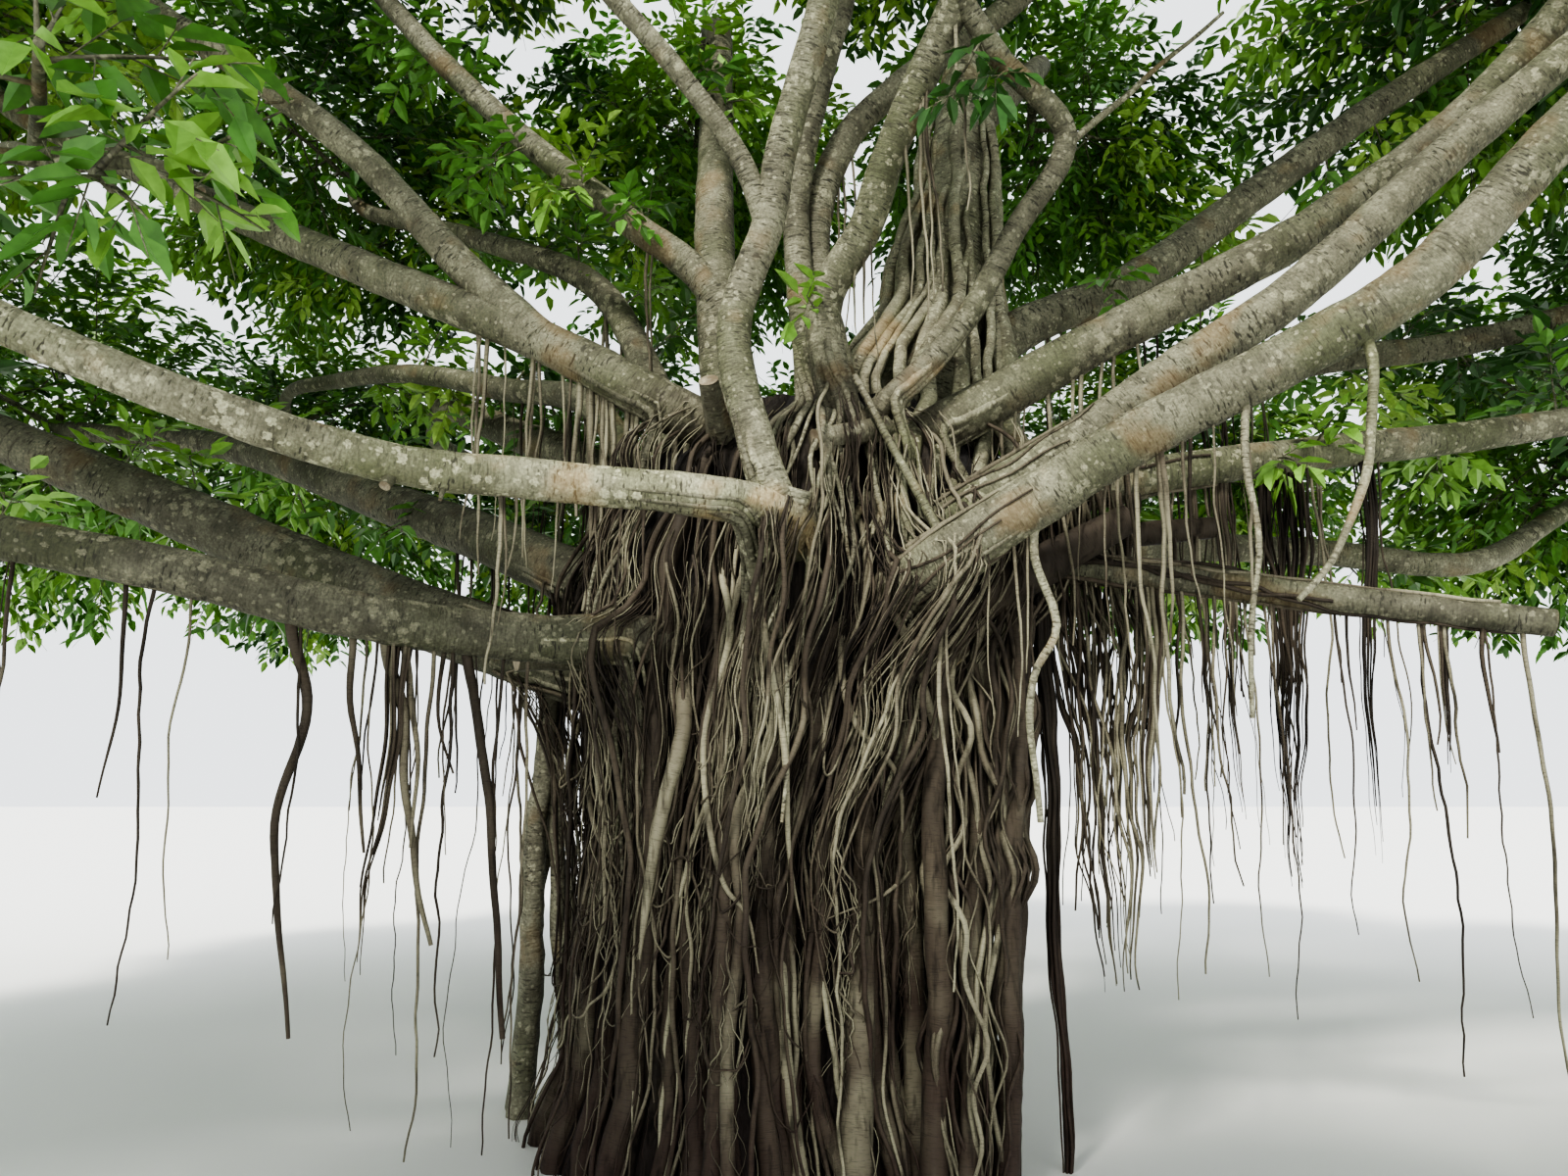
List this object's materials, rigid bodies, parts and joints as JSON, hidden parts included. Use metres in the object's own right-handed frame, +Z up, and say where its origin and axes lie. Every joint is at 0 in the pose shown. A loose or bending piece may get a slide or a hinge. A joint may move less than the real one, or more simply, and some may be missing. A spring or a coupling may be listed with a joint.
{
  "type": "banyan tree",
  "caption": "Broad spreading fig tree with a trunk of fused aerial roots, hanging and propping roots, long low boughs and a domed leafy crown.",
  "frame": {"origin": "on the flat cut face under the trunk, at ground level", "axes": "+Z up, +X to the right and -Y towards the viewer of the picture"},
  "size_m": [16.9071, 16.2083, 10.0074],
  "materials": {
    "trunk": "rough bark of fused roots",
    "boughs": "ringed pale bark with lichen",
    "roots": "rough, stringy",
    "leaves": "soft waxy sheen"
  },
  "bodies": {
    "root": {"bough_back_centre": "boughs", "bough_back_left_a": "boughs", "bough_back_left_b": "boughs", "bough_back_left_c": "boughs", "bough_back_left_up": "boughs", "bough_back_right": "boughs", "bough_elbow": "boughs", "bough_front_crook": "boughs", "bough_left_front": "boughs", "bough_left_high": "boughs", "bough_left_low": "boughs", "bough_left_low_back": "boughs", "bough_left_mid": "boughs", "bough_right_back_low": "boughs", "bough_right_cut": "boughs", "bough_right_far": "boughs", "bough_right_front": "boughs", "bough_right_front_b": "boughs", "bough_right_high": "boughs", "bough_right_low": "boughs", "bough_right_mid": "boughs", "bough_up_back": "boughs", "bough_up_mid": "boughs", "bough_up_right": "boughs", "bough_up_right_b": "boughs", "fork_back_up": "boughs", "fork_front_thin": "boughs", "fork_left_high": "boughs", "hanging_roots_curtain": "roots", "hanging_roots_left": "roots", "hanging_roots_right": "roots", "leader": "boughs", "leaves_back_a": "leaves", "leaves_back_b": "leaves", "leaves_back_left": "leaves", "leaves_back_right": "leaves", "leaves_front": "leaves", "leaves_front_left": "leaves", "leaves_front_right": "leaves", "leaves_left": "leaves", "leaves_left_back": "leaves", "leaves_left_front": "leaves", "leaves_near_left": "leaves", "leaves_right": "leaves", "leaves_right_back": "leaves", "leaves_right_front": "leaves", "leaves_top": "leaves", "leaves_top_front": "leaves", "leaves_top_left": "leaves", "leaves_upper_back": "leaves", "leaves_upper_back_left": "leaves", "leaves_upper_back_right": "leaves", "leaves_upper_left": "leaves", "leaves_upper_left_front": "leaves", "leaves_upper_right": "leaves", "leaves_upper_right_front": "leaves", "prop_root_left": "roots", "prop_root_right": "roots", "root_column_right": "roots", "trunk": "trunk"}
  },
  "joints": []
}
